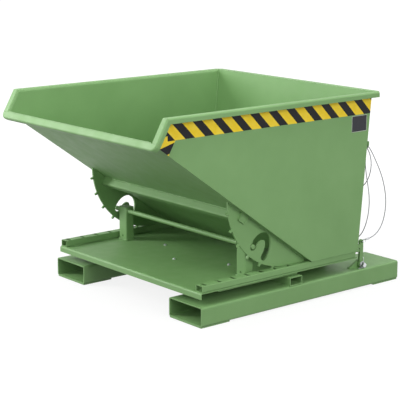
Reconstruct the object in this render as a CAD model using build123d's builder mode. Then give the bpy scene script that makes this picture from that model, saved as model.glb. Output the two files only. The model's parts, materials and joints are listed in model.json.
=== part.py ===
from build123d import *
import os
from math import cos, pi, radians, sin, sqrt, tan

# Rolling tipping hopper for a forklift truck, in millimetres.
# +X points to the pouring lip, +Y to the latch side (left), +Z up, with the floor at Z = 0.

# Fork pockets and their pads
pocket_length = 1129.0
pocket_width = 205.0
pocket_height = 80.0
pocket_wall = 5.0
pocket_corner = 9.0
frame_width = 1005.0
pad_length = 150.0
pad_width = 195.0
pad_thickness = 5.0

# Cross tubes between the pockets and the base plate
tube_width = 70.0
tube_height = 50.0
tube_wall = 4.0
tube_corner = 6.0
front_tube_behind = 30.0
front_tube_length = 1002.0
front_tube_height = 38.0
rear_tube_length = 660.0
rear_tube_setback = 310.0

# Bearers between the front tube and the base plate
bearer_width = 50.0
bearer_spacing = 890.0
bearer_front_setback = 112.0

# Base plate
plate_width = 978.0
plate_thickness = 5.0
plate_front_setback = 6.5
plate_rear_setback = 248.0
plate_flange = 26.0
plate_bend = 9.0

# Plated bolts through the base plate
stud_diameter = 8.0
stud_nut_width = 13.0
stud_nut_height = 4.5
stud_end = 1.5
stud_head_height = 5.3
stud_gap = 0.2
stud_aside = 18.0
stud_pair_ahead = 108.0
stud_pair_spacing = 434.0
stud_front_ahead = 229.5

# Slotted rails
rail_width = 40.0
rail_height = 28.0
rail_wall = 2.5
rail_corner = 4.5
rail_front_setback = 14.5
rail_rear_setback = 256.0
slot_length = 15.0
slot_width = 32.0

# Posts and guide bar
post_ahead = 168.5
post_depth = 44.0
post_width = 56.0
post_height = 152.0
post_wall = 4.0
post_corner = 6.0
post_spacing = 806.0
post_vent_diameter = 8.0
post_vent_height = 20.0
bar_diameter = 20.0
bar_length = 932.0
bar_ahead = 177.5
bar_lift = 107.0
bar_chamfer = 1.5
weld_gap = 0.1

# Rolling geometry: the segments roll on the rails without slipping
roll_radius = 314.0
roll_setback = 649.0
roll_limit = 68.0
running_gap = 0.3
tooth_count = 7
tooth_pitch = 74.9
tooth_lag = 7.4
tooth_height = 13.5
tooth_root = 10.0
tooth_tip = 7.0
guide_slot_width = 32.0
guide_slot_points = 10

# Bucket sheets
bucket_width = 994.0
sheet = 3.0
rear_sheet = 4.0
floor_bend = 12.0
bend_behind = 123.5
rear_behind = 396.5
mouth_length = 104.0
rim_height = 855.0
floor_angle = 35.3
rear_lean = 5.2
mouth_lean = 30.0

# Folded rim round the top and the mouth
rim_width = 35.5
rim_drop = 22.0
rim_bend = 8.0
fold_bend = 12.0
fold_leg = 14.0
rim_corner = 26.0
lip_depth = 30.0

# Segments and the channel under the floor
segment_thickness = 8.0
segment_spacing = 918.0
segment_heel = 9.0
segment_end_angle = 88.5
channel_length = 942.0
channel_width = 40.0
channel_depth = 35.0
channel_wall = 4.0
channel_bend = 6.0
cap_thickness = 4.0
cap_recess = 2.0
cap_cut = 2.5
channel_along = 409.0
notch_gap = 0.3

# Latch: bracket, bolt, hook lever, spring and the catch on the bucket
latch_behind = 45.0
latch_inset = 29.5
lever_thickness = 10.0
lever_width = 20.0
lever_hub = 26.0
lever_reach = 101.0
eye_diameter = 11.0
nose_reach = 35.0
nose_height = 16.0
nose_round = 5.0
nose_gap = 0.6
bracket_thickness = 10.0
bracket_gap = 3.0
bracket_round = 38.0
bracket_foot_front = 54.0
bracket_foot_rear = 34.0
bracket_foot_height = 6.0
bolt_diameter = 12.0
bolt_head_width = 18.0
bolt_head_height = 7.0
nut_height = 8.0
bolt_end = 2.0
pivot_gap = 0.05
spring_wire = 3.0
spring_radius = 12.0
spring_turns = 2
spring_pitch = 3.6
spring_clear = 2.5
spring_leg = 30.0
spring_hook = 12.0
spring_bend = 5.0
catch_behind = 22.0
catch_drop = 4.3
catch_diameter = 16.0
catch_overhang = 4.0
ear_thickness = 8.0
ear_gap = 7.0
ear_round = 28.0
ear_height = 46.0

# Wire rope, its fittings and the hook that holds the spare length
rope_diameter = 4.0
rope_eye_radius = 14.0
rope_eye_rise = 8.0
rope_first_run = 25.0
ferrule_diameter = 9.0
ferrule_length = 22.0
fitting_gap = 0.2
hook_diameter = 8.0
hook_inset = 21.0
hook_z = 605.0
hook_reach = 56.0
hook_rise = 26.0
hook_bend = 10.0
end_ring_radius = 20.0

# Striped tape, label plate and the plugs on the rolling axis
tape_thickness = 0.4
tape_height = 70.0
tape_end_behind = 25.0
mouth_tape_width = 78.0
label_width = 90.0
label_height = 70.0
label_thickness = 0.8
label_setback = 28.5
label_drop = 3.0
plug_diameter = 16.0

# Heights
pocket_top = pad_thickness + pocket_height
plate_top = pocket_top + tube_height + plate_thickness
rail_top = plate_top + rail_height
roll_z = rail_top + roll_radius
bottom_z = rail_top + running_gap
bar_z = rail_top + bar_lift

# Places along X: the box of the whole hopper is centred on the origin
floor_tan = tan(radians(floor_angle))
mouth_tan = tan(radians(mouth_lean))
rear_tan = tan(radians(rear_lean))
mouth_rise = rim_height - bottom_z


floor_reach = (mouth_rise - mouth_length * cos(radians(mouth_lean))) / floor_tan


def floor_run(behind_mouth):
    """How far ahead of the bend the floor's underside meets a line this far behind the mouth."""
    return floor_reach - behind_mouth / cos(radians(mouth_lean)) / (1 + floor_tan * mouth_tan)


lip_round = rim_bend * (cos(radians(mouth_lean)) + sin(radians(mouth_lean)) - 1)
lip_ahead = floor_reach - bend_behind + lip_depth * sin(radians(mouth_lean)) - lip_round
pocket_rear_x = -(roll_setback + lip_ahead) / 2
pocket_front_x = pocket_rear_x + pocket_length
roll_x = pocket_rear_x + roll_setback
bend_x = roll_x - bend_behind
bucket_rear_x = roll_x - rear_behind
rear_top_x = bucket_rear_x - mouth_rise * rear_tan
floor_end_x = bend_x + floor_reach
floor_end_z = bottom_z + floor_reach * floor_tan
mouth_x = floor_end_x - mouth_length * sin(radians(mouth_lean))
front_tube_x = roll_x - front_tube_behind
post_x = roll_x + post_ahead
bar_x = roll_x + bar_ahead
latch_x = bucket_rear_x - latch_behind

# Places across Y
panel_y = bucket_width / 2
rim_y = panel_y + rim_width
pocket_y = (frame_width - pocket_width) / 2
rail_y = (plate_width - rail_width) / 2
post_y = post_spacing / 2
latch_y = frame_width / 2 - latch_inset
hook_y = latch_y - hook_inset
stud_places = [
    (roll_x + stud_pair_ahead, stud_aside + stud_pair_spacing / 2),
    (roll_x + stud_pair_ahead, stud_aside - stud_pair_spacing / 2),
    (roll_x + stud_front_ahead, stud_aside),
]

# Planes that several pieces share
centre_plane = Plane.XZ
mouth_plane = Plane(
    origin=(mouth_x, 0, rim_height),
    x_dir=(0, 1, 0),
    z_dir=(cos(radians(mouth_lean)), 0, sin(radians(mouth_lean))),
)
mitre_plane = Plane(
    origin=(mouth_x, 0, rim_height),
    x_dir=(0, 1, 0),
    z_dir=(-cos(radians(mouth_lean)), 0, 1 - sin(radians(mouth_lean))),
)
slope_plane = Plane(
    origin=(bend_x, 0, bottom_z),
    x_dir=(cos(radians(floor_angle)), 0, sin(radians(floor_angle))),
    z_dir=(0, -1, 0),
)
rear_plane = Plane(
    origin=(bucket_rear_x, 0, bottom_z),
    x_dir=(0, 1, 0),
    z_dir=(-cos(radians(rear_lean)), 0, -sin(radians(rear_lean))),
)
sides = {"left": 1, "right": -1}

os.makedirs("parts", exist_ok=True)


def mouth_line(behind_mouth, z):
    """Where a line this far behind the mouth, and parallel to it, is at this height."""
    return mouth_x + (rim_height - z) * mouth_tan - behind_mouth / cos(radians(mouth_lean))


def rear_line(z):
    """Where the outside of the rear wall is at this height."""
    return bucket_rear_x - (z - bottom_z) * rear_tan


def write_piece(piece, node):
    """Label a finished piece and write it as its own file."""
    piece.part.label = node
    export_step(piece.part, f"parts/{node}.step")


def upright_plane(y):
    """The XZ plane at this Y, for flat plates that stand along the hopper."""
    return centre_plane.offset(-y)


def tube_section(width, height, wall, corner):
    """Hollow rectangular section with rounded corners, in the sketch that is open."""
    RectangleRounded(width, height, corner)
    RectangleRounded(width - 2 * wall, height - 2 * wall, corner - wall, mode=Mode.SUBTRACT)


# Base


def make_fork_pocket(side):
    with BuildPart() as pocket:
        with BuildSketch(Plane.YZ.offset(pocket_rear_x)):
            with Locations((side * pocket_y, pad_thickness + pocket_height / 2)):
                tube_section(pocket_width, pocket_height, pocket_wall, pocket_corner)
        extrude(amount=pocket_length)
    return pocket


def make_foot_pad(side, x):
    with BuildPart() as pad:
        with BuildSketch():
            with Locations((x, side * pocket_y)):
                Rectangle(pad_length, pad_width)
        extrude(amount=pad_thickness)
        chamfer(pad.faces().sort_by(Axis.Z)[0].edges().filter_by(Axis.Y), pad_thickness / 3)
    return pad


def make_cross_tube(x, length, height):
    with BuildPart() as tube:
        with BuildSketch(centre_plane):
            with Locations((x, pocket_top + height / 2)):
                tube_section(tube_width, height, tube_wall, tube_corner)
        extrude(amount=length / 2, both=True)
    return tube


def make_bearer(side):
    rear_x = front_tube_x - tube_width / 2
    front_x = pocket_front_x - bearer_front_setback
    with BuildPart() as bearer:
        with BuildSketch(Plane.XY.offset(pocket_top + front_tube_height)):
            with Locations(((rear_x + front_x) / 2, side * bearer_spacing / 2)):
                Rectangle(front_x - rear_x, bearer_width)
        extrude(amount=tube_height - front_tube_height)
    return bearer


def make_base_plate():
    plate_rear_x = pocket_rear_x + plate_rear_setback
    plate_front_x = pocket_front_x - plate_front_setback
    with BuildPart() as plate:
        with BuildSketch(centre_plane):
            with BuildLine():
                FilletPolyline(
                    (plate_rear_x, plate_top),
                    (plate_front_x, plate_top),
                    (plate_front_x, plate_top - plate_flange),
                    radius=plate_bend,
                )
                offset(amount=plate_thickness, side=Side.RIGHT)
            make_face()
        extrude(amount=plate_width / 2, both=True)
        with BuildSketch(Plane.XY.offset(plate_top)):
            with Locations(*stud_places):
                Circle(stud_diameter / 2 + stud_gap)
        extrude(amount=-plate_thickness, mode=Mode.SUBTRACT)
    return plate


def make_plate_bolts():
    plate_bottom = plate_top - plate_thickness
    with BuildPart() as bolts:
        with BuildSketch(Plane.XY.offset(plate_bottom)):
            with Locations(*stud_places):
                Circle(stud_diameter / 2)
        extrude(amount=plate_thickness + stud_nut_height + stud_end)
        with BuildSketch(Plane.XY.offset(plate_top)):
            with Locations(*stud_places):
                RegularPolygon(stud_nut_width / 2, 6, major_radius=False)
        extrude(amount=stud_nut_height)
        with BuildSketch(Plane.XY.offset(plate_bottom)):
            with Locations(*stud_places):
                RegularPolygon(stud_nut_width / 2, 6, major_radius=False)
        extrude(amount=-stud_head_height)
    return bolts


def make_rail(side):
    rail_rear_x = pocket_rear_x + rail_rear_setback
    rail_front_x = pocket_front_x - rail_front_setback
    slots = [(roll_x - tooth_lag + n * tooth_pitch, side * rail_y) for n in range(tooth_count)]
    with BuildPart() as rail:
        with BuildSketch(Plane.YZ.offset(rail_rear_x)):
            with Locations((side * rail_y, plate_top + rail_height / 2)):
                tube_section(rail_width, rail_height, rail_wall, rail_corner)
        extrude(amount=rail_front_x - rail_rear_x)
        with BuildSketch(Plane.XY.offset(rail_top)):
            with Locations(*slots):
                Rectangle(slot_length, slot_width)
        extrude(amount=-rail_height / 2, mode=Mode.SUBTRACT)
    return rail


def make_post(side):
    with BuildPart() as post:
        with BuildSketch(Plane.XY.offset(plate_top)):
            with Locations((post_x, side * post_y)):
                RectangleRounded(post_depth, post_width, post_corner)
        extrude(amount=post_height)
        with BuildSketch(Plane.XY.offset(plate_top)):
            with Locations((post_x, side * post_y)):
                RectangleRounded(
                    post_depth - 2 * post_wall,
                    post_width - 2 * post_wall,
                    post_corner - post_wall,
                )
        extrude(amount=post_height - post_wall, mode=Mode.SUBTRACT)
        with BuildSketch(upright_plane(side * post_y)):
            with Locations((bar_x, bar_z)):
                Circle(bar_diameter / 2 + weld_gap)
        extrude(amount=post_width, both=True, mode=Mode.SUBTRACT)
        with BuildSketch(Plane.YZ.offset(post_x)):
            with Locations((side * post_y, plate_top + post_vent_height)):
                Circle(post_vent_diameter / 2)
        extrude(amount=post_depth, mode=Mode.SUBTRACT)
    return post


def make_guide_bar():
    with BuildPart() as bar:
        with BuildSketch(centre_plane):
            with Locations((bar_x, bar_z)):
                Circle(bar_diameter / 2)
        extrude(amount=bar_length / 2, both=True)
        chamfer(bar.edges().filter_by(GeomType.CIRCLE), bar_chamfer)
    return bar


# Bucket


def make_side_panel(side):
    edge_z = rim_height - fold_leg
    front_run = floor_run(fold_leg)
    with BuildPart() as panel:
        with BuildSketch(upright_plane(side * (panel_y - sheet / 2))):
            with BuildLine():
                Polyline(
                    (bucket_rear_x, bottom_z),
                    (bend_x, bottom_z),
                    (bend_x + front_run, bottom_z + front_run * floor_tan),
                    (mouth_line(fold_leg, edge_z), edge_z),
                    (rear_line(edge_z), edge_z),
                    close=True,
                )
            make_face()
            with Locations((roll_x, roll_z)):
                Circle(plug_diameter / 2 + pivot_gap, mode=Mode.SUBTRACT)
        extrude(amount=sheet / 2, both=True)
    return panel


def make_floor_sheet():
    past_mouth = 2 * sheet
    with BuildPart() as floor:
        with BuildSketch(centre_plane):
            with BuildLine():
                FilletPolyline(
                    (bucket_rear_x, bottom_z),
                    (bend_x, bottom_z),
                    (floor_end_x + past_mouth, floor_end_z + past_mouth * floor_tan),
                    radius=floor_bend,
                )
                offset(amount=sheet, side=Side.LEFT)
            make_face()
        extrude(amount=panel_y - sheet, both=True)
        split(bisect_by=mouth_plane, keep=Keep.BOTTOM)
    return floor


def make_rear_wall():
    foot_z = bottom_z + sheet
    foot_x = bucket_rear_x - sheet * rear_tan
    depth = rear_sheet / cos(radians(rear_lean))
    with BuildPart() as wall:
        with BuildSketch(centre_plane):
            with BuildLine():
                Polyline(
                    (foot_x, foot_z),
                    (foot_x + depth, foot_z),
                    (rear_top_x + depth, rim_height),
                    (rear_top_x, rim_height),
                    close=True,
                )
            make_face()
        extrude(amount=panel_y - sheet, both=True)
    return wall


def make_side_rim(side):
    with BuildPart() as rim:
        with BuildSketch(Plane.YZ.offset(rear_top_x)):
            with BuildLine():
                FilletPolyline(
                    (side * (panel_y - sheet), rim_height - fold_leg),
                    (side * (panel_y - sheet), rim_height),
                    (side * rim_y, rim_height),
                    (side * rim_y, rim_height - rim_drop),
                    radius=[fold_bend, rim_bend],
                )
                offset(amount=sheet, side=Side.RIGHT if side > 0 else Side.LEFT)
            make_face()
        extrude(amount=mouth_x - rear_top_x + rim_drop)
        split(bisect_by=mitre_plane, keep=Keep.TOP)
    return rim


def make_rear_rim():
    outer_x = rear_top_x - rim_width
    with BuildPart() as rim:
        with BuildSketch(Plane.XY.offset(rim_height - rim_drop)) as outline:
            with BuildLine():
                Polyline(
                    (rear_top_x, rim_y),
                    (outer_x + rim_corner, rim_y),
                    (outer_x, rim_y - rim_corner),
                    (outer_x, rim_corner - rim_y),
                    (outer_x + rim_corner, -rim_y),
                    (rear_top_x, -rim_y),
                    close=True,
                )
            make_face()
        extrude(amount=rim_drop)
        with BuildSketch(Plane.XY.offset(rim_height - rim_drop)):
            add(outline.sketch.face())
            offset(amount=-sheet, kind=Kind.INTERSECTION, mode=Mode.REPLACE)
            with Locations((rear_top_x, 0)):
                Rectangle(4 * sheet, 2 * (rim_y - sheet))
        extrude(amount=rim_drop - sheet, mode=Mode.SUBTRACT)
        top_edges = rim.faces().sort_by(Axis.Z)[-1].edges()
        fillet(top_edges.filter_by(lambda edge: edge.center().X < rear_top_x - 1), rim_bend)
    return rim


def make_mouth_rim(side):
    section = Plane(
        origin=mouth_plane.origin,
        x_dir=mouth_plane.x_dir,
        z_dir=-mouth_plane.y_dir,
    )
    with BuildPart() as rim:
        with BuildSketch(section.offset(-rim_drop)):
            with BuildLine():
                FilletPolyline(
                    (side * (panel_y - sheet), -fold_leg),
                    (side * (panel_y - sheet), 0),
                    (side * rim_y, 0),
                    (side * rim_y, -rim_drop),
                    radius=[fold_bend, rim_bend],
                )
                offset(amount=sheet, side=Side.RIGHT if side > 0 else Side.LEFT)
            make_face()
        extrude(amount=rim_drop + mouth_length)
        split(bisect_by=mitre_plane, keep=Keep.BOTTOM)
    return rim


def make_lip_rim():
    high_line = -mouth_length - 2 * running_gap
    low_line = -mouth_length - lip_depth
    with BuildPart() as lip:
        with BuildSketch(mouth_plane) as outline:
            with BuildLine():
                Polyline(
                    (-rim_y, high_line),
                    (-rim_y, low_line),
                    (rim_y, low_line),
                    (rim_y, high_line),
                    close=True,
                )
            make_face()
            fillet(outline.vertices().group_by(Axis.Y)[0], rim_corner)
        extrude(amount=-rim_drop)
        with BuildSketch(mouth_plane.offset(-sheet)):
            add(outline.sketch_local.face())
            offset(amount=-sheet, mode=Mode.REPLACE)
            with Locations((0, high_line)):
                Rectangle(2 * (rim_y - sheet), 4 * sheet)
        extrude(amount=-rim_drop, mode=Mode.SUBTRACT)
        front = lip.faces().filter_by(mouth_plane).sort_by(Axis(mouth_plane.origin, mouth_plane.z_dir))[-1]
        top_z = front.bounding_box().max.Z
        fillet(front.edges().filter_by(lambda edge: edge.center().Z < top_z - 1), rim_bend)
    return lip


def guide_point(angle, shift):
    """The guide bar's centre seen from the bucket once it has rolled by angle, moved sideways by shift."""

    def seen(turn):
        ahead = bar_x - roll_x - roll_radius * turn
        below = bar_z - roll_z
        return Vector(
            roll_x + ahead * cos(turn) - below * sin(turn),
            roll_z + ahead * sin(turn) + below * cos(turn),
        )

    step = 0.001
    along = (seen(angle + step) - seen(angle - step)).normalized()
    return seen(angle) + Vector(-along.Y, along.X) * shift


def make_segment(side):
    edge_radius = roll_radius - running_gap
    heel_x = bend_x + segment_heel
    tip_x = roll_x + edge_radius * sin(radians(segment_end_angle))
    tip_z = roll_z - edge_radius * cos(radians(segment_end_angle))
    middle = radians(segment_end_angle / 2)
    half_root = tooth_root / 2
    half_tip = tooth_tip / 2
    half_slot = guide_slot_width / 2
    end = radians(roll_limit)
    steps = [end * n / (guide_slot_points - 1) for n in range(guide_slot_points)]
    outside = [guide_point(turn, half_slot) for turn in steps]
    inside = [guide_point(turn, -half_slot) for turn in steps]
    with BuildPart() as segment:
        with BuildSketch(upright_plane(side * segment_spacing / 2)):
            with BuildLine():
                Line((heel_x, bottom_z), (roll_x, bottom_z))
                ThreePointArc(
                    (roll_x, bottom_z),
                    (roll_x + edge_radius * sin(middle), roll_z - edge_radius * cos(middle)),
                    (tip_x, tip_z),
                )
                Polyline(
                    (tip_x, tip_z),
                    (tip_x, bottom_z + (tip_x - bend_x) * floor_tan),
                    (heel_x, bottom_z + (heel_x - bend_x) * floor_tan),
                    (heel_x, bottom_z),
                )
            make_face()
            for n in range(tooth_count):
                turn = (n * tooth_pitch - tooth_lag) / roll_radius
                with Locations(Location((roll_x, roll_z, 0), (0, 0, turn * 180 / pi))):
                    Polygon(
                        (-half_root, -edge_radius + tooth_height),
                        (-half_root, -edge_radius),
                        (-half_tip, -edge_radius - tooth_height),
                        (half_tip, -edge_radius - tooth_height),
                        (half_root, -edge_radius),
                        (half_root, -edge_radius + tooth_height),
                        align=None,
                    )
            with BuildLine():
                Spline(*outside)
                Spline(*inside)
                Line(outside[0], inside[0])
                Line(outside[-1], inside[-1])
            make_face(mode=Mode.SUBTRACT)
            with Locations(guide_point(0, 0), guide_point(end, 0)):
                Circle(half_slot, mode=Mode.SUBTRACT)
        extrude(amount=segment_thickness / 2, both=True)
        with BuildSketch(slope_plane):
            with Locations((channel_along + channel_width / 2, -channel_depth / 2)):
                Rectangle(channel_width + 2 * notch_gap, channel_depth + 2 * notch_gap)
        extrude(amount=panel_y, both=True, mode=Mode.SUBTRACT)
    return segment


def make_cross_channel():
    channel_end = channel_along + channel_width
    with BuildPart() as channel:
        with BuildSketch(slope_plane):
            with BuildLine():
                FilletPolyline(
                    (channel_along, 0),
                    (channel_along, -channel_depth),
                    (channel_end, -channel_depth),
                    (channel_end, 0),
                    radius=channel_bend,
                )
                offset(amount=channel_wall, side=Side.LEFT)
            make_face()
        extrude(amount=channel_length / 2, both=True)
    return channel


def make_channel_cap(side):
    near = channel_along + channel_wall
    far = channel_along + channel_width - channel_wall
    deep = channel_depth - channel_wall
    middle_y = channel_length / 2 - cap_recess - cap_thickness / 2
    with BuildPart() as cap:
        with BuildSketch(slope_plane.offset(side * middle_y * slope_plane.z_dir.Y)):
            with BuildLine():
                Polyline(
                    (near, 0),
                    (near, cap_cut - deep),
                    (near + cap_cut, -deep),
                    (far - cap_cut, -deep),
                    (far, cap_cut - deep),
                    (far, 0),
                    close=True,
                )
            make_face()
        extrude(amount=cap_thickness / 2, both=True)
    return cap


def make_hazard_tape(side):
    high = rim_height - rim_drop
    low = high - tape_height
    end_x = mouth_x - tape_end_behind
    with BuildPart() as tape:
        with BuildSketch(upright_plane(side * (panel_y + tape_thickness / 2))):
            with BuildLine():
                Polyline(
                    (rear_line(low), low),
                    (end_x, low),
                    (end_x, high),
                    (rear_line(high), high),
                    close=True,
                )
            make_face()
        extrude(amount=tape_thickness / 2, both=True)
    return tape


def make_mouth_tape(side):
    high = rim_height - rim_drop
    low = high - tape_height
    end_x = mouth_x - tape_end_behind
    front_run = floor_run(rim_drop)
    back_run = floor_run(rim_drop + mouth_tape_width)
    with BuildPart() as tape:
        with BuildSketch(upright_plane(side * (panel_y + tape_thickness / 2))):
            with BuildLine():
                Polyline(
                    (end_x, high),
                    (end_x, low),
                    (mouth_line(rim_drop + mouth_tape_width, low), low),
                    (bend_x + back_run, bottom_z + back_run * floor_tan),
                    (bend_x + front_run, bottom_z + front_run * floor_tan),
                    (mouth_line(rim_drop, high), high),
                    close=True,
                )
            make_face()
        extrude(amount=tape_thickness / 2, both=True)
    return tape


def make_label_plate():
    high = rim_height - rim_drop - tape_height - label_drop
    left_x = rear_top_x + label_setback
    with BuildPart() as label:
        with BuildSketch(upright_plane(panel_y + label_thickness / 2)):
            with Locations((left_x + label_width / 2, high - label_height / 2)):
                RectangleRounded(label_width, label_height, sheet)
        extrude(amount=label_thickness / 2, both=True)
    return label


def make_roll_axis_plugs():
    with BuildPart() as plugs:
        for side in sides.values():
            with BuildSketch(upright_plane(side * (panel_y - sheet / 2))):
                with Locations((roll_x, roll_z)):
                    Circle(plug_diameter / 2)
            extrude(amount=sheet / 2, both=True)
    return plugs


# Latch

pivot_z = pocket_top + spring_radius + spring_wire / 2 + running_gap
eye_z = pivot_z + lever_reach
catch_x = bucket_rear_x - catch_behind
catch_z = bottom_z - catch_drop
nose_low = catch_z + catch_diameter / 2 + nose_gap
bracket_y = latch_y - (lever_thickness + bracket_thickness) / 2 - bracket_gap
ear_y = latch_y - (lever_thickness + ear_thickness) / 2 - ear_gap
spring_y = latch_y + lever_thickness / 2 + spring_clear
head_y = spring_y + spring_pitch * (spring_turns + 0.5) + spring_wire


def make_latch_bracket():
    foot = bracket_foot_front + bracket_foot_rear
    with BuildPart() as bracket:
        with BuildSketch(upright_plane(bracket_y)):
            with Locations((latch_x, pivot_z)):
                Circle(bracket_round / 2)
            with Locations((latch_x - bracket_foot_rear + foot / 2, pocket_top + bracket_foot_height / 2)):
                Rectangle(foot, bracket_foot_height)
            make_hull()
            with Locations((latch_x, pocket_top - bracket_round / 2)):
                Rectangle(foot + bracket_round, bracket_round, mode=Mode.SUBTRACT)
            with Locations((latch_x, pivot_z)):
                Circle(bolt_diameter / 2 + pivot_gap, mode=Mode.SUBTRACT)
        extrude(amount=bracket_thickness / 2, both=True)
    return bracket


def make_latch_bolt():
    start_y = bracket_y - bracket_thickness / 2 - nut_height - bolt_end
    with BuildPart() as bolt:
        with BuildSketch(upright_plane(head_y)):
            with Locations((latch_x, pivot_z)):
                Circle(bolt_diameter / 2)
        extrude(amount=head_y - start_y)
        with BuildSketch(upright_plane(head_y)):
            with Locations((latch_x, pivot_z)):
                RegularPolygon(bolt_head_width / 2, 6, major_radius=False)
        extrude(amount=-bolt_head_height)
    return bolt


def make_latch_nut():
    with BuildPart() as nut:
        with BuildSketch(upright_plane(bracket_y - bracket_thickness / 2)):
            with Locations((latch_x, pivot_z)):
                RegularPolygon(bolt_head_width / 2, 6, major_radius=False)
                Circle(bolt_diameter / 2 + pivot_gap, mode=Mode.SUBTRACT)
        extrude(amount=nut_height)
    return nut


def make_latch_lever():
    with BuildPart() as lever:
        with BuildSketch(upright_plane(latch_y)) as outline:
            with Locations((latch_x, (pivot_z + eye_z) / 2)):
                SlotCenterToCenter(lever_reach, lever_width, rotation=90)
            with Locations((latch_x, pivot_z)):
                Circle(lever_hub / 2)
            with Locations((latch_x + nose_reach / 2, nose_low + nose_height / 2)):
                Rectangle(nose_reach, nose_height)
            fillet(outline.vertices().sort_by(Axis.X)[-2:], nose_round)
            with Locations((latch_x, pivot_z)):
                Circle(bolt_diameter / 2 + pivot_gap, mode=Mode.SUBTRACT)
            with Locations((latch_x, eye_z)):
                Circle(eye_diameter / 2, mode=Mode.SUBTRACT)
        extrude(amount=lever_thickness / 2, both=True)
    return lever


def make_catch_ear():
    top_z = bottom_z + ear_height
    with BuildPart() as ear:
        with BuildSketch(upright_plane(ear_y)):
            with Locations((catch_x, catch_z)):
                Circle(ear_round / 2)
            with BuildLine():
                Polyline(
                    (bucket_rear_x, bottom_z),
                    (rear_line(top_z), top_z),
                    (rear_line(top_z) - sheet, top_z),
                    close=True,
                )
            make_face()
            make_hull()
            with Locations((catch_x, catch_z)):
                Circle(catch_diameter / 2 + weld_gap, mode=Mode.SUBTRACT)
        extrude(amount=ear_thickness / 2, both=True)
        split(bisect_by=rear_plane, keep=Keep.TOP)
    return ear


def make_catch_pin():
    start_y = ear_y - ear_thickness / 2
    end_y = latch_y + lever_thickness / 2 + catch_overhang
    with BuildPart() as pin:
        with BuildSketch(upright_plane(end_y)):
            with Locations((catch_x, catch_z)):
                Circle(catch_diameter / 2)
        extrude(amount=end_y - start_y)
        chamfer(pin.edges().filter_by(GeomType.CIRCLE), 1)
    return pin


def biarc(start, start_way, end, end_way):
    """Two arcs from start to end that leave and arrive along the given directions."""
    span = end - start
    ways = start_way + end_way
    a = 2 * (1 - start_way.dot(end_way))
    b = 2 * span.dot(ways)
    c = -span.dot(span)
    reach = (-b + sqrt(b * b - 4 * a * c)) / (2 * a)
    joint = (start + start_way * reach + end - end_way * reach) / 2
    first = TangentArc(start, joint, tangent=start_way)
    TangentArc(joint, end, tangent=first % 1)


def spring_point(turns):
    """A point on the spring's helix: it starts behind the bolt and goes down, forward and outward."""
    angle = 2 * pi * turns
    return Vector(
        latch_x - spring_radius * cos(angle),
        spring_y + spring_pitch * turns,
        pivot_z - spring_radius * sin(angle),
    )


def spring_way(turns):
    """The direction of the helix at that point."""
    angle = 2 * pi * turns
    return Vector(
        spring_radius * sin(angle),
        spring_pitch / (2 * pi),
        -spring_radius * cos(angle),
    ).normalized()


def make_latch_spring():
    quarters = 4 * spring_turns + 1
    stops = [n / 4 for n in range(quarters + 1)]
    corner = spring_point(0) - spring_way(0) * spring_leg
    hook = corner - Vector(0, spring_hook, 0)
    with BuildPart() as spring:
        with BuildLine() as route:
            FilletPolyline(hook, corner, spring_point(0), radius=spring_bend)
            for a, b in zip(stops, stops[1:]):
                biarc(spring_point(a), spring_way(a), spring_point(b), spring_way(b))
            Line(spring_point(stops[-1]), spring_point(stops[-1]) + spring_way(stops[-1]) * spring_leg)
        with BuildSketch(Plane(origin=hook, z_dir=corner - hook)):
            Circle(spring_wire / 2)
        sweep(path=route.wire())
    print("spring gap to itself", round(least_gap(route.wire(), spring_wire), 2))
    return spring


def least_gap(path, diameter):
    """The smallest clear distance between two stretches of a tube, measured on points along its path."""
    count = int(path.length / (diameter / 2))
    points = [path.position_at(n / count) for n in range(count + 1)]
    apart = int(2 * pi * diameter / (path.length / count))
    return min(
        (points[i] - points[j]).length
        for i in range(0, count - apart)
        for j in range(i + apart, count + 1)
    ) - diameter


# Rope

rope_way = Vector(-cos(radians(rope_eye_rise)), 0, sin(radians(rope_eye_rise)))
eye_centre = Vector(latch_x, latch_y, eye_z)
ferrule_start = eye_centre + rope_way * (2 * rope_eye_radius + rope_diameter / 2 + fitting_gap)
rope_start = ferrule_start + rope_way * ferrule_length


def rope_place(behind, aside, height):
    """A point of the rope's route, measured from the foot of the rear wall and from the latch."""
    return Vector(bucket_rear_x - behind, latch_y + aside, height)


# The lead leaves the lever's ferrule, and moves with the lever
lead_end = rope_place(180.9, 5, 289)
lead_points = [
    rope_start,
    rope_start + rope_way * rope_first_run,
    rope_place(152.4, 2, 231),
    rope_place(175.4, 4, 266),
    lead_end,
]

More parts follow.
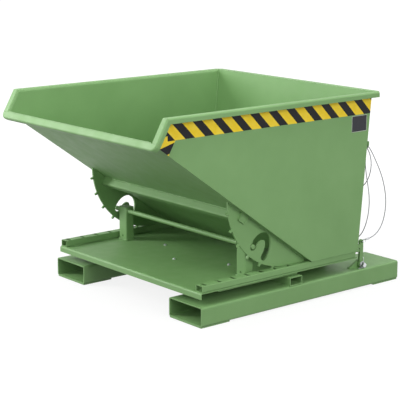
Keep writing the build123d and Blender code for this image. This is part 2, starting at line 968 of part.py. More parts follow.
# The rope goes on up behind the rear wall, over the hook and round two hung loops, and ends in a ring
rope_points = [
    lead_end,
    rope_place(186.4, 6, 312),
    rope_place(187.4, 8, 362),
    rope_place(176.4, 10, 412),
    rope_place(159.4, 11, 462),
    rope_place(136.4, 10, 510),
    rope_place(110.4, 8, 556),
    rope_place(88.4, 5, 594),
    rope_place(84.4, -9, 612),
    rope_place(83.4, -29, 613),
    rope_place(82.4, -46, 602),
    rope_place(81.4, -60, 580),
    rope_place(80.4, -74, 547),
    rope_place(79.4, -82, 508),
    rope_place(78.4, -81, 469),
    rope_place(77.4, -70, 440),
    rope_place(76.4, -49, 428),
    rope_place(75.4, -26, 436),
    rope_place(74.4, -6, 457),
    rope_place(73.4, 10, 483),
    rope_place(72.4, 20, 514),
    rope_place(72.4, 22, 546),
    rope_place(72.4, 16, 574),
    rope_place(72.4, 4, 597),
    rope_place(72.4, -12, 613),
    rope_place(71.4, -32, 613),
    rope_place(71.4, -48, 600),
    rope_place(70.4, -61, 574),
    rope_place(70.4, -74, 531),
    rope_place(69.4, -86, 481),
    rope_place(69.4, -96, 428),
    rope_place(68.4, -104, 374),
    rope_place(68.4, -109, 320),
    rope_place(67.4, -110, 270),
    rope_place(67.4, -102, 230),
    rope_place(66.4, -84, 205),
    rope_place(66.4, -57, 197),
    rope_place(65.4, -30, 213),
    rope_place(65.4, -7, 243),
    rope_place(64.4, 11, 284),
    rope_place(64.4, 22, 332),
    rope_place(64.4, 25, 385),
    rope_place(63.4, 17, 438),
    rope_place(63.4, 4, 488),
    rope_place(62.4, -3, 534),
    rope_place(62.4, -3, 572),
    rope_place(61.4, -5, 595),
    rope_place(61.4, -18, 613),
    rope_place(60.4, -40, 615),
    rope_place(60.4, -56, 600),
    rope_place(59.4, -63, 577),
]


def turn_radii(points):
    """The largest arc that the two runs at each corner leave room for."""
    radii = []
    for before, corner, after in zip(points, points[1:], points[2:]):
        arriving = corner - before
        leaving = after - corner
        shorter = min(arriving.length, leaving.length)
        radii.append(0.45 * shorter / tan(radians(arriving.get_angle(leaving) / 2)))
    return radii


def make_cord(points, name):
    radii = turn_radii(points)
    with BuildPart() as cord:
        with BuildLine() as route:
            FilletPolyline(*points, radius=radii)
        with BuildSketch(Plane(origin=points[0], z_dir=points[1] - points[0])):
            Circle(rope_diameter / 2)
        sweep(path=route.wire())
    path = route.wire()
    section = pi * rope_diameter**2 / 4
    print(name, "length", round(path.length, 1))
    print(name, "volume over section times length", round(cord.part.volume / section / path.length, 4))
    print(name, "radii", [round(radius) for radius in radii])
    print(name, "gap to itself", round(least_gap(path, rope_diameter), 2))
    return cord


def make_ring(centre, way, radius):
    with BuildPart(Plane(origin=centre, x_dir=way, z_dir=way.cross(Vector(0, 1, 0)))) as ring:
        Torus(radius, rope_diameter / 2)
    return ring


def make_ferrule(start, way):
    with BuildPart() as ferrule:
        with BuildSketch(Plane(origin=start, z_dir=way)):
            Circle(ferrule_diameter / 2)
        extrude(amount=ferrule_length)
        chamfer(ferrule.edges().filter_by(GeomType.CIRCLE), 1)
    return ferrule


def make_rope_hook():
    wall_x = rear_line(hook_z)
    with BuildPart() as hook:
        with BuildLine() as route:
            FilletPolyline(
                (wall_x + hook_diameter, hook_y, hook_z),
                (wall_x - hook_reach, hook_y, hook_z),
                (wall_x - hook_reach, hook_y, hook_z + hook_rise),
                radius=hook_bend,
            )
        with BuildSketch(Plane(origin=(wall_x + hook_diameter, hook_y, hook_z), z_dir=(-1, 0, 0))):
            Circle(hook_diameter / 2)
        sweep(path=route.wire())
        split(bisect_by=rear_plane, keep=Keep.TOP)
    return hook


# Write every piece

for name, side in sides.items():
    write_piece(make_fork_pocket(side), f"fork_pocket_{name}")
    write_piece(make_foot_pad(side, pocket_front_x - pad_length / 2), f"foot_pad_front_{name}")
    write_piece(make_foot_pad(side, pocket_rear_x + pad_length / 2), f"foot_pad_rear_{name}")
    write_piece(make_rail(side), f"rail_{name}")
    write_piece(make_post(side), f"post_{name}")
    write_piece(make_bearer(side), f"bearer_{name}")
    write_piece(make_side_panel(side), f"side_panel_{name}")
    write_piece(make_side_rim(side), f"rim_{name}")
    write_piece(make_mouth_rim(side), f"mouth_rim_{name}")
    write_piece(make_segment(side), f"segment_{name}")
    write_piece(make_channel_cap(side), f"channel_cap_{name}")
    write_piece(make_hazard_tape(side), f"hazard_tape_{name}")
    write_piece(make_mouth_tape(side), f"mouth_tape_{name}")

write_piece(make_cross_tube(front_tube_x, front_tube_length, front_tube_height), "cross_tube_front")
write_piece(
    make_cross_tube(pocket_rear_x + rear_tube_setback, rear_tube_length, tube_height),
    "cross_tube_rear",
)
write_piece(make_base_plate(), "base_plate")
write_piece(make_plate_bolts(), "plate_bolts")
write_piece(make_guide_bar(), "guide_bar")
write_piece(make_floor_sheet(), "floor_sheet")
write_piece(make_rear_wall(), "rear_wall")
write_piece(make_rear_rim(), "rim_rear")
write_piece(make_lip_rim(), "lip_rim")
write_piece(make_cross_channel(), "cross_channel")
write_piece(make_label_plate(), "label_plate")
write_piece(make_roll_axis_plugs(), "roll_axis_plugs")
write_piece(make_latch_bracket(), "latch_bracket")
write_piece(make_latch_bolt(), "latch_bolt")
write_piece(make_latch_nut(), "latch_nut")
write_piece(make_latch_lever(), "latch_lever")
write_piece(make_latch_spring(), "latch_spring")
write_piece(make_catch_ear(), "catch_ear")
write_piece(make_catch_pin(), "catch_pin")
write_piece(make_rope_hook(), "rope_hook")
write_piece(make_cord(lead_points, "rope_lead"), "rope_lead")
write_piece(make_cord(rope_points, "pull_rope"), "pull_rope")
write_piece(make_ring(eye_centre + rope_way * rope_eye_radius, rope_way, rope_eye_radius), "rope_eye")
write_piece(make_ferrule(ferrule_start, rope_way), "rope_ferrule")
end_way = (rope_points[-1] - rope_points[-2]).normalized()
end_ring_centre = rope_points[-1] + end_way * (
    ferrule_length + fitting_gap + rope_diameter / 2 + end_ring_radius
)
write_piece(make_ferrule(rope_points[-1], end_way), "rope_end_ferrule")
write_piece(make_ring(end_ring_centre, end_way, end_ring_radius), "rope_end_ring")
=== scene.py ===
import json
import math

import bpy
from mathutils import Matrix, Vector


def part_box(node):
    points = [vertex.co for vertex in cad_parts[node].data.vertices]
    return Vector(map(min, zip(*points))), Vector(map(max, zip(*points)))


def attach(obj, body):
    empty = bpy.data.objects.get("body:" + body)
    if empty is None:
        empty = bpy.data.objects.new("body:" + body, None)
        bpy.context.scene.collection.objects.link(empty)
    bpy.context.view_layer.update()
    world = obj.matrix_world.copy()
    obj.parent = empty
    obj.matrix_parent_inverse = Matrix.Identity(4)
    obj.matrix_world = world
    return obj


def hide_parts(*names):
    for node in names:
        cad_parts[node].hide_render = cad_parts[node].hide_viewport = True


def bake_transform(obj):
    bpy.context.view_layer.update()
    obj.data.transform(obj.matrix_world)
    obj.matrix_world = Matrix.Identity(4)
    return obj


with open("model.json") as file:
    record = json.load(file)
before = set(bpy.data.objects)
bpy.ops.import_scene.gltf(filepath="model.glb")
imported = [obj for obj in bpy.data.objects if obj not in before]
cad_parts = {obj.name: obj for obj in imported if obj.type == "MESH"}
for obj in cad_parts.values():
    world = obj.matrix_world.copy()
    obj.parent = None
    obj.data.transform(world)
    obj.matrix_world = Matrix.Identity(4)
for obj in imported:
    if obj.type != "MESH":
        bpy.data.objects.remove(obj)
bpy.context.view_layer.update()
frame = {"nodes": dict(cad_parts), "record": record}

bl_info = {
    "name": "Tipping hopper looks",
    "version": (1, 0, 0),
    "blender": (4, 5, 0),
    "location": "3D View > Sidebar > Hopper",
    "description": "Dresses a tipping hopper with enamel, welds, wire rope, tape and a studio",
    "category": "Object",
}

NODES = frame["nodes"]
SLOT_OF = {part["node"]: part["material_slot"] for part in frame["record"]["subparts"]}

# All lengths are in metres.

# The bucket's sheets: where the floor turns up and where the rear wall starts, the ways that
# both rise, and the ways that their outer sides face.
SHEET = 0.003
FLOOR_RISE = math.radians(35.3)
REAR_LEAN = math.radians(5.2)
BEND = Vector((-0.1646, 0.0, 0.1683))
FLOOR_WAY = Vector((math.cos(FLOOR_RISE), 0.0, math.sin(FLOOR_RISE)))
FLOOR_OUT = Vector((FLOOR_WAY.z, 0.0, -FLOOR_WAY.x))
REAR_FOOT = Vector((-0.4376, 0.0, 0.1683))
REAR_WAY = Vector((-math.sin(REAR_LEAN), 0.0, math.cos(REAR_LEAN)))
REAR_OUT = Vector((-REAR_WAY.z, 0.0, REAR_WAY.x))
# The rear wall's inner face at its foot, and what is welded to the slope and to the rear wall.
REAR_INNER = 0.004
CHANNEL_EDGES = (0.409, 0.449)
HOOK_HEIGHT = 0.605

# The weld beads: half a bead's width, the length of a ripple, the points drawn along a ripple and
# round a bead, and how far a bead cuts a corner or stops short of an end.
WELD_SIZE = 0.0034
WELD_RIPPLE = 0.006
WELD_STEPS = 4.0
WELD_SIDES = 8
CORNER_CUT = 0.004
# Where the beads run: rings with their points, stitches (short beads) with their starts and
# lengths along a joint, and seams (long beads) with their lengths and their gaps at the ends.
BAR_RING = 20
HOOK_RING = 16
RAIL_STITCHES = 6
RAIL_STITCH_START = 0.03
RAIL_STITCH_PITCH = 0.148
RAIL_STITCH = 0.055
SEGMENT_STITCH_STARTS = (0.03, 0.15, 0.27, 0.465)
SEGMENT_STITCH = 0.06
TUBE_SEAM_START = 0.012
TUBE_SEAM_STOP = 0.006
TUBE_SEAM_IN = 0.002
TUBE_SEAM_UP = 0.001
REAR_SEAM = 0.676
SLOPE_SEAM = 1.0

# The wire rope: its sizes, the points drawn along a lay and round a strand, and the share of the
# radius that is left in a groove between two strands.
ROPE_DIAMETER = 0.004
ROPE_LAY = 0.026
ROPE_STRANDS = 6
ROPE_STEPS = 12.0
STRAND_POINTS = 4.0
STRAND_GROOVE = 0.72

# The latch spring's wire.
SPRING_WIRE = 0.003
SPRING_STEPS = 24
SPRING_BEND_STEPS = 6
SPRING_SIDES = 12

# The tape: the way across the stripes in X and Z, and where a black stripe starts along it.
BAND_SLANT = (math.sqrt(0.5), -math.sqrt(0.5))
BAND_START = -0.0028
MOUTH_SLANT = (0.2588, 0.9659)
MOUTH_START = 0.844

# The studio: its floor, its lamps with place, width, height and power in watts, and its camera.
FLOOR_HALF = 30.0
WORLD_LEVEL = 0.41
LAMPS = (
    ("lamp_above", (0.6, 0.4, 4.2), 3.2, 3.2, 104.0),
    ("lamp_side", (0.5, 5.0, 2.2), 2.6, 2.6, 124.0),
    ("lamp_front", (4.2, 1.2, 2.0), 1.8, 1.8, 46.0),
    ("lamp_mouth", (2.9, -2.95, 2.15), 1.1, 2.4, 138.0),
    ("lamp_rear", (-4.4, 0.6, 2.4), 2.0, 2.0, 45.0),
)
LAMP_AIM = Vector((0, 0, 0.45))
CAMERA_PLACE = (3.6644, 4.369, 1.631)
CAMERA_TURN = math.radians(39.53)
CAMERA_TILT = math.radians(12.43)

ENAMEL = "satin_reseda_green_enamel"
# Most of a noise texture's values lie between these two.
NOISE_LOW = 0.3
NOISE_HIGH = 0.7
# A Mix node's colour sockets share their names with others, so they go by number.
MIX_A = 6
MIX_B = 7
MIX_RESULT = 2

# The rope's route, from the ferrule on the latch to the fitting on its free end.
LEAD_ROUTE = [
    (-0.534267, 0.473, 0.207065),
    (-0.559024, 0.473, 0.210544),
    (-0.590, 0.475, 0.231),
    (-0.613, 0.477, 0.266),
    (-0.6185, 0.478, 0.289),
]
PULL_ROUTE = [
    (-0.6185, 0.478, 0.289),
    (-0.624, 0.479, 0.312),
    (-0.625, 0.481, 0.362),
    (-0.614, 0.483, 0.412),
    (-0.597, 0.484, 0.462),
    (-0.574, 0.483, 0.510),
    (-0.548, 0.481, 0.556),
    (-0.526, 0.478, 0.594),
    (-0.522, 0.464, 0.612),
    (-0.521, 0.444, 0.613),
    (-0.520, 0.427, 0.602),
    (-0.519, 0.413, 0.580),
    (-0.518, 0.399, 0.547),
    (-0.517, 0.391, 0.508),
    (-0.516, 0.392, 0.469),
    (-0.515, 0.403, 0.440),
    (-0.514, 0.424, 0.428),
    (-0.513, 0.447, 0.436),
    (-0.512, 0.467, 0.457),
    (-0.511, 0.483, 0.483),
    (-0.510, 0.493, 0.514),
    (-0.510, 0.495, 0.546),
    (-0.510, 0.489, 0.574),
    (-0.510, 0.477, 0.597),
    (-0.510, 0.461, 0.613),
    (-0.509, 0.441, 0.613),
    (-0.509, 0.425, 0.600),
    (-0.508, 0.412, 0.574),
    (-0.508, 0.399, 0.531),
    (-0.507, 0.387, 0.481),
    (-0.507, 0.377, 0.428),
    (-0.506, 0.369, 0.374),
    (-0.506, 0.364, 0.320),
    (-0.505, 0.363, 0.270),
    (-0.505, 0.371, 0.230),
    (-0.504, 0.389, 0.205),
    (-0.504, 0.416, 0.197),
    (-0.503, 0.443, 0.213),
    (-0.503, 0.466, 0.243),
    (-0.502, 0.484, 0.284),
    (-0.502, 0.495, 0.332),
    (-0.502, 0.498, 0.385),
    (-0.501, 0.490, 0.438),
    (-0.501, 0.477, 0.488),
    (-0.500, 0.470, 0.534),
    (-0.500, 0.470, 0.572),
    (-0.499, 0.468, 0.595),
    (-0.499, 0.455, 0.613),
    (-0.498, 0.433, 0.615),
    (-0.498, 0.417, 0.600),
    (-0.497, 0.410, 0.577),
]


def linear(code):
    """Linear RGBA of an sRGB hex colour."""
    values = [int(code[i : i + 2], 16) / 255 for i in (1, 3, 5)]
    return [v / 12.92 if v <= 0.04045 else ((v + 0.055) / 1.055) ** 2.4 for v in values] + [1.0]


def add(tree, kind, inputs=None, **settings):
    """Add a node: an input that gets a socket is linked, and one that gets a value is set."""
    node = tree.nodes.new(kind)
    for name, value in settings.items():
        setattr(node, name, value)
    for name, value in (inputs or {}).items():
        if isinstance(value, bpy.types.NodeSocket):
            tree.links.new(value, node.inputs[name])
        else:
            node.inputs[name].default_value = value
    return node


def new_material(name):
    """An empty material, with its tree and its Object coordinates."""
    material = bpy.data.materials.new(name)
    material.use_nodes = True
    tree = material.node_tree
    tree.nodes.clear()
    place = add(tree, "ShaderNodeTexCoord").outputs["Object"]
    return material, tree, place


def dress(names, material):
    """Give CAD nodes one material."""
    for name in names:
        slots = NODES[name].data.materials
        slots.clear()
        slots.append(material)


def nodes_in(slot):
    """Names of the CAD nodes in one of the record's material slots."""
    return [name for name in NODES if SLOT_OF[name] == slot]


def mesh_from(obj):
    """A plain mesh of an object as it is evaluated."""
    bpy.context.view_layer.update()
    depsgraph = bpy.context.evaluated_depsgraph_get()
    return bpy.data.meshes.new_from_object(obj.evaluated_get(depsgraph), depsgraph=depsgraph)


def line_mesh(name, lines):
    """An object of open lines at the origin, the guide of a Geometry Nodes piece."""
    verts = []
    edges = []
    for line in lines:
        start = len(verts)
        verts += [tuple(point) for point in line]
        edges += [(start + i, start + i + 1) for i in range(len(line) - 1)]
    mesh = bpy.data.meshes.new(name)
    mesh.from_pydata(verts, edges, [])
    guide = bpy.data.objects.new(name, mesh)
    bpy.context.scene.collection.objects.link(guide)
    return guide


def ring_line(centre, across, up, radius, count):
    """Points of a closed ring that lies in the plane of the ways across and up."""
    turns = [2 * math.pi * i / count for i in range(count + 1)]
    return [centre + radius * (across * math.cos(t) + up * math.sin(t)) for t in turns]


def new_tree(name, inputs):
    """A geometry node tree with a geometry input and named sizes, and its inputs' sockets."""
    tree = bpy.data.node_groups.new(name, "GeometryNodeTree")
    tree.interface.new_socket("Guide", in_out="INPUT", socket_type="NodeSocketGeometry")
    for label, kind, value in inputs:
        socket = tree.interface.new_socket(label, in_out="INPUT", socket_type=kind)
        socket.default_value = value
    tree.interface.new_socket("Piece", in_out="OUTPUT", socket_type="NodeSocketGeometry")
    return tree, add(tree, "NodeGroupInput").outputs


def wound_path(tree, guide, turn, steps):
    """A guide as an even curve, and an angle that goes once round in the length of each turn."""
    path = add(tree, "GeometryNodeMeshToCurve", {"Mesh": guide})
    step = add(tree, "ShaderNodeMath", {0: turn, 1: steps}, operation="DIVIDE")
    even = add(
        tree,
        "GeometryNodeResampleCurve",
        {"Curve": path.outputs[0], "Length": step.outputs[0]},
        mode="LENGTH",
    )
    along = add(tree, "GeometryNodeSplineParameter").outputs["Length"]
    turns = add(tree, "ShaderNodeMath", {0: along, 1: turn}, operation="DIVIDE")
    angle = add(tree, "ShaderNodeMath", {0: turns.outputs[0], 1: 2 * math.pi}, operation="MULTIPLY")
    return even.outputs[0], angle.outputs[0]


def close_tree(tree, geometry, material):
    """End a tree in real geometry that carries its material."""
    smooth = add(tree, "GeometryNodeSetShadeSmooth", {"Geometry": geometry})
    real = add(tree, "GeometryNodeRealizeInstances", {"Geometry": smooth.outputs[0]})
    finish = add(
        tree, "GeometryNodeSetMaterial", {"Geometry": real.outputs[0], "Material": material}
    )
    add(tree, "NodeGroupOutput", {"Piece": finish.outputs[0]})


def grow(guide, tree, sizes, name):
    """Run a node tree on a guide and leave its plain mesh as a finished piece."""
    modifier = guide.modifiers.new("growth", "NODES")
    modifier.node_group = tree
    sockets = {s.name: s.identifier for s in tree.interface.items_tree if s.in_out == "INPUT"}
    for label, value in sizes.items():
        modifier[sockets[label]] = value
    mesh = mesh_from(guide)
    old = guide.data
    guide.modifiers.remove(modifier)
    guide.data = mesh
    guide.name = name
    mesh.name = name
    bpy.data.meshes.remove(old)
    if not mesh.polygons:
        raise RuntimeError(f"{name} came out empty")
    return guide


def route_points(route, name):
    """Points along the smooth line of a route, read from its NURBS spline."""
    curve = bpy.data.curves.new(name, "CURVE")
    curve.dimensions = "3D"
    spline = curve.splines.new("NURBS")
    spline.points.add(len(route) - 1)
    for point, place in zip(spline.points, route):
        point.co = (*place, 1)
    spline.order_u = 3
    spline.use_endpoint_u = True
    spline.resolution_u = 8
    holder = bpy.data.objects.new(name, curve)
    bpy.context.scene.collection.objects.link(holder)
    mesh = mesh_from(holder)
    points = [v.co.copy() for v in mesh.vertices]
    bpy.data.objects.remove(holder)
    bpy.data.curves.remove(curve)
    bpy.data.meshes.remove(mesh)
    return points


def background_rays(tree):
    """1 for the rays that see the white background: the camera's, and those of gloss and glass."""
    ray = add(tree, "ShaderNodeLightPath").outputs
    seen = add(
        tree,
        "ShaderNodeMath",
        {0: ray["Is Camera Ray"], 1: ray["Is Glossy Ray"]},
        operation="MAXIMUM",
    )
    through = add(
        tree,
        "ShaderNodeMath",
        {0: seen.outputs[0], 1: ray["Is Transmission Ray"]},
        operation="MAXIMUM",
    )
    return through.outputs[0]


def enamel():
    """Satin reseda-green enamel, sprayed on sheet steel: an even colour with faint clouds, a soft
    broken gloss, and a slight orange peel that only shows where a highlight grazes the sheet."""
    sizes = bpy.context.scene.hopper_finish
    cloud_width = 0.24
    mist_width = 0.05
    # Real orange peel is about 1.5 mm wide: it is drawn 6 mm wide, so that it shows.
    peel_width = 0.006
    material, tree, place = new_material(ENAMEL)
    clouds = add(
        tree, "ShaderNodeTexNoise", {"Vector": place, "Scale": 1 / cloud_width, "Detail": 3.0}
    )
    shades = add(tree, "ShaderNodeValToRGB", {"Fac": clouds.outputs["Fac"]})
    shades.color_ramp.elements[0].position = NOISE_LOW
    shades.color_ramp.elements[0].color = (*sizes.enamel_dark, 1)
    shades.color_ramp.elements[1].position = NOISE_HIGH
    shades.color_ramp.elements[1].color = (*sizes.enamel_light, 1)
    mist = add(
        tree, "ShaderNodeTexNoise", {"Vector": place, "Scale": 1 / mist_width, "Detail": 4.0}
    )
    gloss = add(
        tree,
        "ShaderNodeMapRange",
        {
            "Value": mist.outputs["Fac"],
            "From Min": NOISE_LOW,
            "From Max": NOISE_HIGH,
            "To Min": 0.48,
            "To Max": 0.6,
        },
    )
    peel = add(
        tree, "ShaderNodeTexNoise", {"Vector": place, "Scale": 1 / peel_width, "Detail": 1.0}
    )
    relief = add(
        tree,
        "ShaderNodeBump",
        {"Height": peel.outputs["Fac"], "Strength": 0.12, "Distance": 0.0006},
    )
    shader = add(
        tree,
        "ShaderNodeBsdfPrincipled",
        {
            "Base Color": shades.outputs["Color"],
            "Roughness": gloss.outputs["Result"],
            "Normal": relief.outputs["Normal"],
            "IOR": 1.5,
            "Specular IOR Level": 0.5,
        },
    )
    add(tree, "ShaderNodeOutputMaterial", {"Surface": shader.outputs[0]})
    return material


def bare_metal(name, dark, light, rough, spangle):
    """A metal finish: two greys in patches of one size, with a gloss that changes in wider ones."""
    rough_change = 0.07
    material, tree, place = new_material(name)
    patches = add(tree, "ShaderNodeTexVoronoi", {"Vector": place, "Scale": 1 / spangle})
    greys = add(tree, "ShaderNodeValToRGB", {"Fac": patches.outputs["Color"]})
    greys.color_ramp.elements[0].color = linear(dark)
    greys.color_ramp.elements[1].color = linear(light)
    film = add(tree, "ShaderNodeTexNoise", {"Vector": place, "Scale": 0.5 / spangle, "Detail": 3.0})
    gloss = add(
        tree,
        "ShaderNodeMapRange",
        {
            "Value": film.outputs["Fac"],
            "From Min": NOISE_LOW,
            "From Max": NOISE_HIGH,
            "To Min": rough - rough_change,
            "To Max": rough + rough_change,
        },
    )
    shader = add(
        tree,
        "ShaderNodeBsdfPrincipled",
        {
            "Base Color": greys.outputs["Color"],
            "Roughness": gloss.outputs["Result"],
            "Metallic": 1.0,
        },
    )
    add(tree, "ShaderNodeOutputMaterial", {"Surface": shader.outputs[0]})
    return material


def striped_film(name, slant, offset):
    """Yellow and black marking tape of printed PVC film: flat, slightly glossy colours with a crisp
    printed edge. Slant is the way across the stripes, offset where a black one starts along it."""
    sizes = bpy.context.scene.hopper_tape
    rub_width = 0.03
    material, tree, place = new_material(name)
    across = add(
        tree,
        "ShaderNodeVectorMath",
        {0: place, 1: (slant[0], 0.0, slant[1])},
        operation="DOT_PRODUCT",
    )
    moved = add(
        tree, "ShaderNodeMath", {0: across.outputs["Value"], 1: offset}, operation="SUBTRACT"
    )
    share = add(
        tree,
        "ShaderNodeMath",
        {0: moved.outputs[0], 1: sizes.stripe_pitch},
        operation="FLOORED_MODULO",
    )
    yellow = add(
        tree,
        "ShaderNodeMath",
        {0: share.outputs[0], 1: sizes.black_width},
        operation="GREATER_THAN",
    )
    wear = add(tree, "ShaderNodeTexNoise", {"Vector": place, "Scale": 1 / rub_width, "Detail": 3.0})
    colours = []
    for dark, light in ((sizes.black, sizes.black_worn), (sizes.yellow, sizes.yellow_worn)):
        ramp = add(tree, "ShaderNodeValToRGB", {"Fac": wear.outputs["Fac"]})
        ramp.color_ramp.elements[0].position = 0.35
        ramp.color_ramp.elements[0].color = (*dark, 1)
        ramp.color_ramp.elements[1].position = 0.75
        ramp.color_ramp.elements[1].color = (*light, 1)
        colours.append(ramp.outputs["Color"])
    print_mix = add(
        tree,
        "ShaderNodeMix",
        {"Factor": yellow.outputs[0], MIX_A: colours[0], MIX_B: colours[1]},
        data_type="RGBA",
    )
    gloss = add(
        tree,
        "ShaderNodeMapRange",
        {
            "Value": wear.outputs["Fac"],
            "From Min": NOISE_LOW,
            "From Max": NOISE_HIGH,
            "To Min": 0.3,
            "To Max": 0.42,
        },
    )
    shader = add(
        tree,
        "ShaderNodeBsdfPrincipled",
        {
            "Base Color": print_mix.outputs[MIX_RESULT],
            "Roughness": gloss.outputs["Result"],
            "Specular IOR Level": 0.2,
        },
    )
    add(tree, "ShaderNodeOutputMaterial", {"Surface": shader.outputs[0]})
    return material


def label_film(low, high):
    """Laminated polyester label: a dark satin print, bare, with a pale line round it."""
    border = 0.0025
    haze_width = 0.02
    material, tree, place = new_material("laminated_polyester_label")
    middle = (low + high) / 2
    centred = add(tree, "ShaderNodeVectorMath", {0: place, 1: middle}, operation="SUBTRACT")
    parts = add(tree, "ShaderNodeSeparateXYZ", {"Vector": centred.outputs[0]})
    edges = []
    for axis, half in (("X", (high.x - low.x) / 2), ("Z", (high.z - low.z) / 2)):
        off = add(tree, "ShaderNodeMath", {0: parts.outputs[axis]}, operation="ABSOLUTE")
        edge = add(tree, "ShaderNodeMath", {0: half, 1: off.outputs[0]}, operation="SUBTRACT")
        edges.append(edge.outputs[0])
    nearest = add(tree, "ShaderNodeMath", {0: edges[0], 1: edges[1]}, operation="MINIMUM")
    inside = add(
        tree, "ShaderNodeMath", {0: nearest.outputs[0], 1: border}, operation="GREATER_THAN"
    )
    haze = add(
        tree, "ShaderNodeTexNoise", {"Vector": place, "Scale": 1 / haze_width, "Detail": 2.0}
    )
    print_ramp = add(tree, "ShaderNodeValToRGB", {"Fac": haze.outputs["Fac"]})
    print_ramp.color_ramp.elements[0].color = linear("#202027")
    print_ramp.color_ramp.elements[1].color = linear("#2C2C34")
    colour = add(
        tree,
        "ShaderNodeMix",
        {
            "Factor": inside.outputs[0],
            MIX_A: linear("#A8B3A3"),
            MIX_B: print_ramp.outputs["Color"],
        },
        data_type="RGBA",
    )
    gloss = add(
        tree,
        "ShaderNodeMapRange",
        {"Value": haze.outputs["Fac"], "To Min": 0.28, "To Max": 0.4},
    )
    shader = add(
        tree,
        "ShaderNodeBsdfPrincipled",
        {
            "Base Color": colour.outputs[MIX_RESULT],
            "Roughness": gloss.outputs["Result"],
            "IOR": 1.5,
            "Specular IOR Level": 0.3,
        },
    )
    add(tree, "ShaderNodeOutputMaterial", {"Surface": shader.outputs[0]})
    return material


def floor_paint():
    """White painted studio floor: it goes to white in the picture and keeps a faint shadow."""
    material, tree, place = new_material("white_studio_floor")
    tint = add(tree, "ShaderNodeTexNoise", {"Vector": place, "Scale": 0.5})
    white = add(tree, "ShaderNodeValToRGB", {"Fac": tint.outputs["Fac"]})
    white.color_ramp.elements[0].color = linear("#6C6C6C")
    white.color_ramp.elements[1].color = linear("#707070")
    paint = add(tree, "ShaderNodeBsdfDiffuse", {"Color": white.outputs["Color"]})
    # The floor is lit more and more with the distance, so it has no grey edge.
    away = add(tree, "ShaderNodeVectorMath", {0: place}, operation="LENGTH")
    level = add(
        tree,
        "ShaderNodeMapRange",
        {
            "Value": away.outputs["Value"],
            "From Min": 1.0,
            "From Max": 3.0,
            "To Min": 0.85,
            "To Max": 1.0,
        },
    )
    glow = add(
        tree,
        "ShaderNodeEmission",
        {"Color": (1, 1, 1, 1), "Strength": level.outputs["Result"]},
    )
    both = add(tree, "ShaderNodeAddShader", {0: paint.outputs[0], 1: glow.outputs[0]})
    mixed = add(
        tree,
        "ShaderNodeMixShader",
        {0: background_rays(tree), 1: paint.outputs[0], 2: both.outputs[0]},
    )
    add(tree, "ShaderNodeOutputMaterial", {"Surface": mixed.outputs[0]})
    return material


class HopperFinish(bpy.types.PropertyGroup):
    """Colours of the enamel and sizes of the welds."""

    enamel_dark: bpy.props.FloatVectorProperty(
        name="Enamel, darker clouds", description="Darker shade of the green enamel",
        subtype="COLOR", min=0, max=1, default=linear("#6D955B")[:3],
    )
    enamel_light: bpy.props.FloatVectorProperty(
        name="Enamel, lighter clouds", description="Lighter shade of the green enamel",
        subtype="COLOR", min=0, max=1, default=linear("#749C62")[:3],
    )
    weld_size: bpy.props.FloatProperty(
        name="Weld size", description="Half width of a weld bead",
        subtype="DISTANCE", unit="LENGTH", min=0.001, default=WELD_SIZE,
    )
    weld_ripple: bpy.props.FloatProperty(
        name="Weld ripple", description="Distance between two ripples of a weld bead",
        subtype="DISTANCE", unit="LENGTH", min=0.001, default=WELD_RIPPLE,
    )


class HopperTape(bpy.types.PropertyGroup):
    """Stripes and colours of the marking tape."""

    stripe_pitch: bpy.props.FloatProperty(
        name="Stripe pitch", description="Distance across from one black stripe to the next",
        subtype="DISTANCE", unit="LENGTH", min=0.01, default=0.0685,
    )
    black_width: bpy.props.FloatProperty(
        name="Black width", description="Width across a black stripe",
        subtype="DISTANCE", unit="LENGTH", min=0.005, default=0.0329,
    )
    black: bpy.props.FloatVectorProperty(
        name="Black", description="Black of the stripes",
        subtype="COLOR", min=0, max=1, default=linear("#101013")[:3],
    )
    black_worn: bpy.props.FloatVectorProperty(
        name="Rubbed black", description="Black where the film is rubbed",
        subtype="COLOR", min=0, max=1, default=linear("#18181C")[:3],
    )
    yellow: bpy.props.FloatVectorProperty(
        name="Yellow", description="Yellow of the stripes",
        subtype="COLOR", min=0, max=1, default=linear("#EFCE2C")[:3],
    )
    yellow_worn: bpy.props.FloatVectorProperty(
        name="Rubbed yellow", description="Yellow where the film is rubbed",
        subtype="COLOR", min=0, max=1, default=linear("#F3D644")[:3],
    )


class HopperRope(bpy.types.PropertyGroup):
    """Sizes of the wire rope."""

    diameter: bpy.props.FloatProperty(
        name="Rope diameter", description="Diameter over the strands",
        subtype="DISTANCE", unit="LENGTH", min=0.001, default=ROPE_DIAMETER,
    )
    lay: bpy.props.FloatProperty(
        name="Lay", description="Length in which a strand goes once round the rope",
        subtype="DISTANCE", unit="LENGTH", min=0.005, default=ROPE_LAY,
    )
    strands: bpy.props.IntProperty(
        name="Strands", description="Number of strands round the core",
        min=3, max=8, default=ROPE_STRANDS,
    )


class HOPPER_OT_steelwork(bpy.types.Operator):
    """Enamel every painted sheet, tube and rail"""

    bl_idname = "hopper.steelwork"
    bl_label = "Painted steelwork"

    def execute(self, context):
        dress(nodes_in("paint"), enamel())
        return {"FINISHED"}


